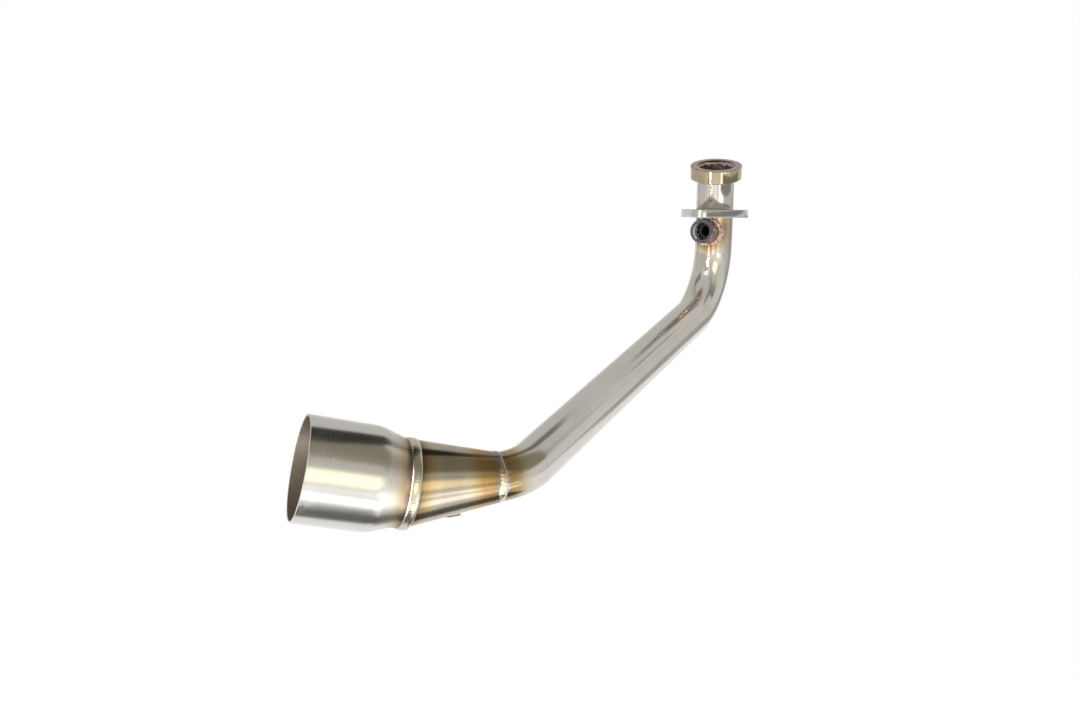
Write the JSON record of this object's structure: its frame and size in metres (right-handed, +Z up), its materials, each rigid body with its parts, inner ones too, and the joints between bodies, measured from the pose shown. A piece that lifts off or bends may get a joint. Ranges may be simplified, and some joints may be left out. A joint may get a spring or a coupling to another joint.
{
  "type": "scooter exhaust header pipe",
  "caption": "Bent stainless header pipe with a port collar, loose two-bolt flange, threaded sensor boss, expansion cone and swaged outlet sleeve, joined by weld beads.",
  "frame": {"origin": "centre of the collar's sealing face", "axes": "+Z up along the collar's axis, out of the pipe; the pipe leads away to -X and -Y"},
  "size_m": [0.3498, 0.3793, 0.1536],
  "materials": {
    "tube_steel": "satin stainless tube with straw heat tint beside the welds",
    "collar_steel": "turned stainless, tan from heat",
    "boss_steel": "turned stainless, blue and copper from heat",
    "flange_steel": "plain cut steel plate",
    "cone_steel": "satin stainless sheet, straw and brown at its ends",
    "sleeve_steel": "stainless brushed round its girth",
    "hook_steel": "plain stainless rod",
    "weld_bead": "rippled weld bead, straw to purple"
  },
  "bodies": {
    "pipe": {"port_collar": "collar_steel", "collar_weld": "weld_bead", "header_tube": "tube_steel", "sensor_boss": "boss_steel", "boss_weld": "weld_bead", "front_weld": "weld_bead", "expansion_cone": "cone_steel", "rear_weld": "weld_bead", "outlet_sleeve": "sleeve_steel", "spring_hook": "hook_steel", "hook_weld": "weld_bead"},
    "flange": {"header_flange": "flange_steel"}
  },
  "joints": [
    {"name": "flange_slide", "type": "slide", "parent": "pipe", "child": "flange", "axis": [0, 0, 1], "range_m": [0, 0.021]}
  ]
}
